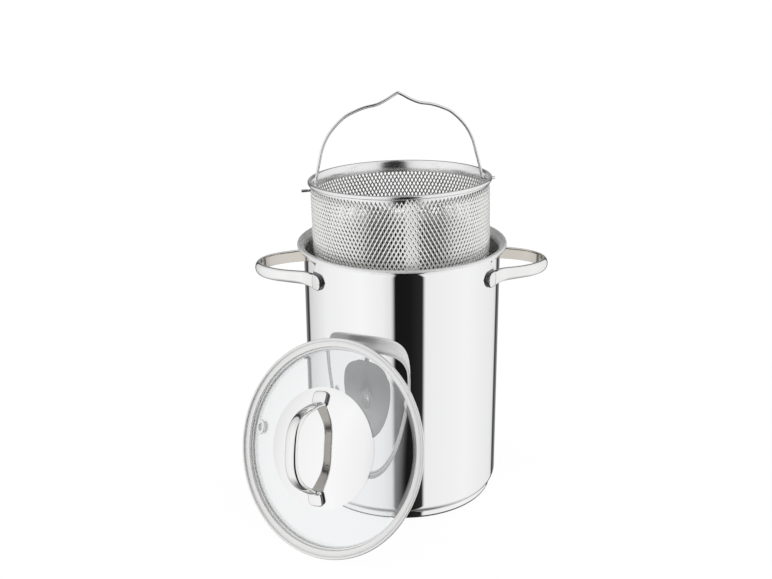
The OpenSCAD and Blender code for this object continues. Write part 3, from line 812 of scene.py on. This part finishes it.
# %% Domed plate
plate_top = [(PLATE_R * k / 30, plate(PLATE_R * k / 30)) for k in range(31)]
inner = [(PLATE_R - PLATE_T) * k / 30 for k in range(31)]
plate_low = [(r, max(plate(r) - PLATE_T, dome(r) + SLIP)) for r in inner]
bm = lathe(plate_top + plate_low[::-1])
# Side faces at the plate's rim take the dark steel, a painted shadow line on the glass; the underside
# takes the darker steel of painted shade.
for face in bm.faces:
    centre = face.calc_center_median()
    if math.hypot(centre.x, centre.y) > PLATE_R - PLATE_T:
        face.material_index = 2 if face.normal.z < 0.5 else 0
    elif face.normal.z < 0:
        face.material_index = 1
finish_piece("lid_cover", bm, [plate_steel, underside_painted_shade, edge_painted_shade], "lid",
             ["lid_plate"], place=lean)

# %% [markdown]
# The lid's handle is the same D-shaped strap, bent to a bow that stands on the plate on
# two pads.

# %% Bow of the lid
KNOB_H, KNOB_HALF, KNOB_T, KNOB_TURN = 37, 29, 3.4, math.radians(10.7)
knob_foot, bow_foot, bow_w = 1.155 * KNOB_HALF, plate(1.17 * KNOB_HALF), 1.04 * STRAP_H


def on_plate(share, height, thick, off):
    """A station of the bow on the plate; share: 0 at the plate's edge, 1 at the bow's foot."""
    r = PLATE_R - share * (PLATE_R - knob_foot)
    return [plate(r) + off, r, height, thick, PAD_POWER]


bow_half = [on_plate(0.285, PAD_H * 0.62, PAD_T * 0.8, 2 * SLIP),
            on_plate(0.335, PAD_H * 0.84, PAD_T * 0.9, 2 * SLIP),
            on_plate(0.5, PAD_H, PAD_T, 4 * SLIP),
            on_plate(1, PAD_H * 0.96, PAD_T, GAP + SLIP)]
loop_shares = [(1.105, 0.13), (1.065, 0.26), (1, 0.42), (0.915, 0.595), (0.8, 0.75), (0.64, 0.878),
               (0.43, 0.965), (0.2, 0.995), (0, 1)]
for out_share, rise in loop_shares:
    bow_half.append([bow_foot + (KNOB_H - KNOB_T) * rise, KNOB_HALF * out_share, bow_w, KNOB_T, 1])
bow_line = smooth_line(mirrored(bow_half, (1, -1, 1, 1, 1)), 8)
bow_place = lean @ Matrix.Rotation(KNOB_TURN, 4, "Z") @ Matrix.Rotation(-math.pi / 2, 4, "Y")
bm = sweep(strap_section(), strap_stations(bow_line), reshape_dome, strap_finish)
finish_piece("lid_bow", bm, [bar_steel, bow_inside_painted_shade, edge_painted_shade], "lid", ["lid_handle"],
             place=bow_place)

# %% Steam vent eyelet and the fasteners inside
VENT_FLANGE = 6.1
vent_at = lip_in - VENT_IN
vent_place = (lean @ Matrix.Translation((-vent_at, 0, dome(vent_at)))
              @ Matrix.Rotation(-math.asin(vent_at / dome_r), 4, "Y"))
tube = VENT_HOLE + 0.8
below = -GLASS_T - 1.1
eyelet_outline = (
    [(VENT_HOLE, below - 0.5), (tube + 0.8, below - 0.5), (tube + 0.8, below), (tube, below),
     (tube, 0.25), (VENT_FLANGE - 0.6, 0.25)]
    + arc((VENT_FLANGE - 0.6, 0.85), 0.6, -90, 90, 8)
    + [(VENT_HOLE + 1.4, 1.65), (VENT_HOLE + 0.4, 1.4), (VENT_HOLE, 0.7)])
# The eyelet takes the extra-light steel, a painted highlight on its flange.
finish_piece("vent_ring", lathe(eyelet_outline, 64), [crimp_painted_light_steel], "lid",
             ["vent_eyelet"], place=vent_place)
for node, material in (("lid_boss", satin), ("lid_washer", satin), ("lid_screw", satin),
                       ("lid_gasket", silicone)):
    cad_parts[node].data.materials.clear()
    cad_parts[node].data.materials.append(material)
